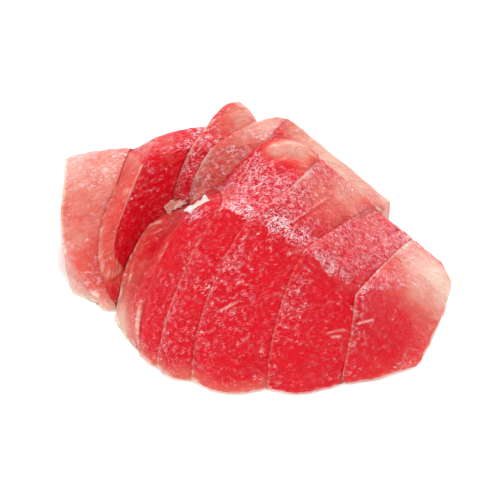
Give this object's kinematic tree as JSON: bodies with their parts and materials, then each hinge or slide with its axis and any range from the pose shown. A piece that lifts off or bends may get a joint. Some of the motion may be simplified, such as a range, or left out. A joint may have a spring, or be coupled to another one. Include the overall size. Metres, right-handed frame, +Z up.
{
  "type": "tuna sashimi",
  "caption": "Portion of raw tuna cut into broad, soft slices that lean on one another in a front and a back row, ready to lay on a plate or board.",
  "frame": {"origin": "middle of the portion's footprint, on the surface it lies on", "axes": "+X along the rows of slices towards their tapered end, +Y from the front row to the back row, +Z up"},
  "size_m": [0.1252, 0.095, 0.0523],
  "materials": {
    "red_flesh": "raw crimson tuna, wet and slightly see-through, with fine fibres",
    "salmon_pink_flesh": "raw salmon-pink tuna near the outside of the loin, wet and slightly see-through",
    "pale_flesh": "raw pale pink, fattier tuna, wet and slightly see-through"
  },
  "bodies": {
    "root": {"front_slice_1": "salmon_pink_flesh", "front_slice_2": "red_flesh", "front_slice_3": "red_flesh", "front_slice_4": "red_flesh", "front_slice_5": "red_flesh", "front_slice_6": "salmon_pink_flesh", "back_slice_1": "salmon_pink_flesh", "back_slice_2": "red_flesh", "back_slice_3": "red_flesh", "back_slice_4": "red_flesh", "back_slice_5": "pale_flesh"}
  },
  "joints": []
}
